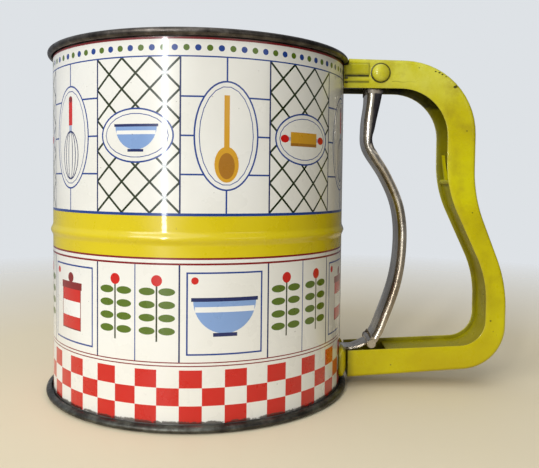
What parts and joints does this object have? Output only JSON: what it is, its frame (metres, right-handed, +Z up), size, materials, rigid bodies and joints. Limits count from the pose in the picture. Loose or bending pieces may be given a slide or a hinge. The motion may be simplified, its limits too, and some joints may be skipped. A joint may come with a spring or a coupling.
{
  "type": "flour sifter",
  "caption": "Squeeze-handle flour sifter: printed metal can with stacked wire screens, a channel handle and a sprung trigger that turns the agitators through a link and crank.",
  "frame": {"origin": "under the middle of the whole object's box, on the surface it stands on; the can's axis is at x = -0.03365", "axes": "+Z up along the can's axis, +X towards the handle, which lies in the plane y = 0, +Y to the can's left seen from the handle"},
  "size_m": [0.1964, 0.129, 0.1407],
  "materials": {
    "printed_enamel": "glossy off-white lithographed enamel with a printed kitchen pattern, worn at its edges",
    "yellow_enamel": "glossy yellow enamel with a few chips",
    "bare_steel": "dark tarnished bare steel",
    "bright_tin": "bright tinned steel with a warm grey stain",
    "tinned_steel": "dull tinned steel",
    "screen_wire": "woven tinned wire"
  },
  "bodies": {
    "can": {"can_body": "printed_enamel", "rim_wire": "bare_steel", "base_ring": "bare_steel", "top_screen": "screen_wire", "middle_screen": "screen_wire", "bottom_screen": "screen_wire", "top_screen_ring": "tinned_steel", "middle_screen_ring": "tinned_steel", "bottom_screen_ring": "tinned_steel", "top_screen_eyelet": "tinned_steel", "middle_screen_eyelet": "tinned_steel", "bottom_screen_eyelet": "tinned_steel", "bearing_bar": "tinned_steel", "handle_shell": "yellow_enamel", "handle_strip": "yellow_enamel", "top_bracket": "bare_steel", "foot_saddle": "yellow_enamel", "pivot_rivet": "yellow_enamel", "pivot_bush": "bare_steel", "return_spring": "bare_steel"},
    "trigger": {"trigger": "bright_tin", "foot_pin": "bright_tin"},
    "drive_link": {"drive_link": "bright_tin"},
    "spindle": {"spindle": "tinned_steel", "bottom_collar": "tinned_steel", "top_agitator": "tinned_steel", "middle_agitator": "tinned_steel", "bottom_agitator": "tinned_steel", "top_agitator_collar": "tinned_steel", "middle_agitator_collar": "tinned_steel", "bottom_agitator_collar": "tinned_steel", "crank_arm": "tinned_steel", "crank_pin": "tinned_steel"}
  },
  "joints": [
    {"name": "trigger_squeeze", "type": "hinge", "parent": "can", "child": "trigger", "pos_m": [0.04295, 0, 0.1344], "axis": [0, -1, 0], "range_deg": [0, 9.15], "stiffness_Nm_per_rad": 0.4, "springref_deg": -28.65, "deforming": ["return_spring"]},
    {"name": "link_pivot", "type": "hinge", "parent": "trigger", "child": "drive_link", "pos_m": [0.04135, 0, 0.019], "axis": [0, -1, 0], "range_deg": [-9.3, 0.1]},
    {"name": "spindle_turn", "type": "hinge", "parent": "can", "child": "spindle", "pos_m": [-0.03365, 0, 0.006], "axis": [0, 0, 1], "range_deg": [-0.5, 71]}
  ],
  "couplings": [
    {"joint": "link_pivot", "follows": "trigger_squeeze", "ratio": -1},
    {"joint": "spindle_turn", "follows": "trigger_squeeze", "ratio": 7.65}
  ]
}
